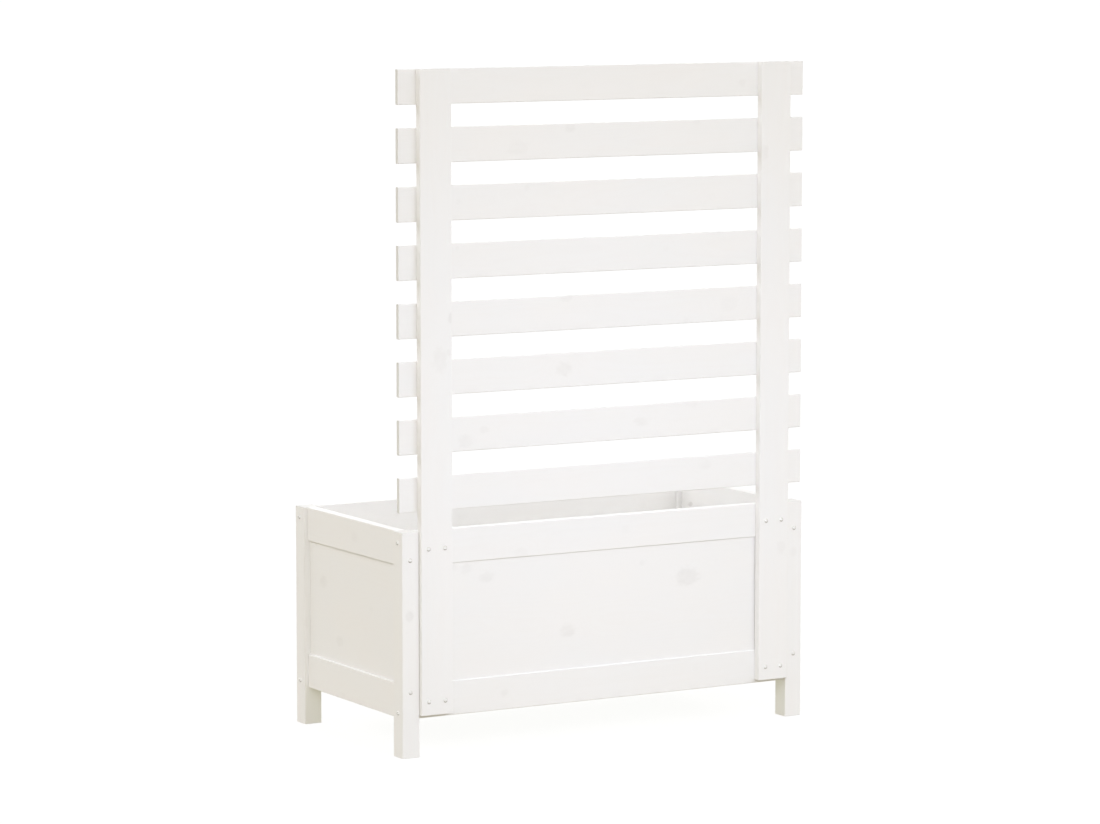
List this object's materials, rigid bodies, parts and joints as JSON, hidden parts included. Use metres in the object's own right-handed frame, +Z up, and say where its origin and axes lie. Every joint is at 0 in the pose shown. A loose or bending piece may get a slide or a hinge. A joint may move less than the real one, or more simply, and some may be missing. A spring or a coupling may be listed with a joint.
{
  "type": "planter with trellis",
  "caption": "Raised rectangular wooden planter box on square legs, with a tall trellis of level slats screwed to its rear wall.",
  "frame": {"origin": "on the ground, under the middle of the whole planter, screw heads included", "axes": "+X to the right of someone who faces the front, +Y towards the rear wall and its trellis, +Z up"},
  "size_m": [0.7926, 0.3996, 1.14],
  "materials": {
    "painted_wood": "planed softwood under thin matt white paint",
    "screw_steel": "zinc-plated, with domed heads, and flat sunk heads in the floor"
  },
  "bodies": {
    "root": {"leg_front_left": "painted_wood", "leg_front_right": "painted_wood", "leg_rear_left": "painted_wood", "leg_rear_right": "painted_wood", "rail_front_top": "painted_wood", "rail_rear_top": "painted_wood", "rail_left_top": "painted_wood", "rail_right_top": "painted_wood", "rail_front_bottom": "painted_wood", "rail_rear_bottom": "painted_wood", "rail_left_bottom": "painted_wood", "rail_right_bottom": "painted_wood", "panel_front": "painted_wood", "panel_rear": "painted_wood", "panel_left": "painted_wood", "panel_right": "painted_wood", "floor_bearer_front": "painted_wood", "floor_bearer_rear": "painted_wood", "floor_board_1": "painted_wood", "floor_board_2": "painted_wood", "floor_board_3": "painted_wood", "floor_board_4": "painted_wood", "floor_board_5": "painted_wood", "floor_board_6": "painted_wood", "floor_board_7": "painted_wood", "floor_board_8": "painted_wood", "floor_board_9": "painted_wood", "floor_board_10": "painted_wood", "floor_board_11": "painted_wood", "upright_left": "painted_wood", "upright_right": "painted_wood", "slat_1": "painted_wood", "slat_2": "painted_wood", "slat_3": "painted_wood", "slat_4": "painted_wood", "slat_5": "painted_wood", "slat_6": "painted_wood", "slat_7": "painted_wood", "slat_8": "painted_wood", "corner_screws_front": "screw_steel", "corner_screws_rear": "screw_steel", "corner_screws_left": "screw_steel", "corner_screws_right": "screw_steel", "upright_screws": "screw_steel", "slat_screws": "screw_steel", "bearer_screws": "screw_steel", "floor_screws": "screw_steel"}
  },
  "joints": []
}
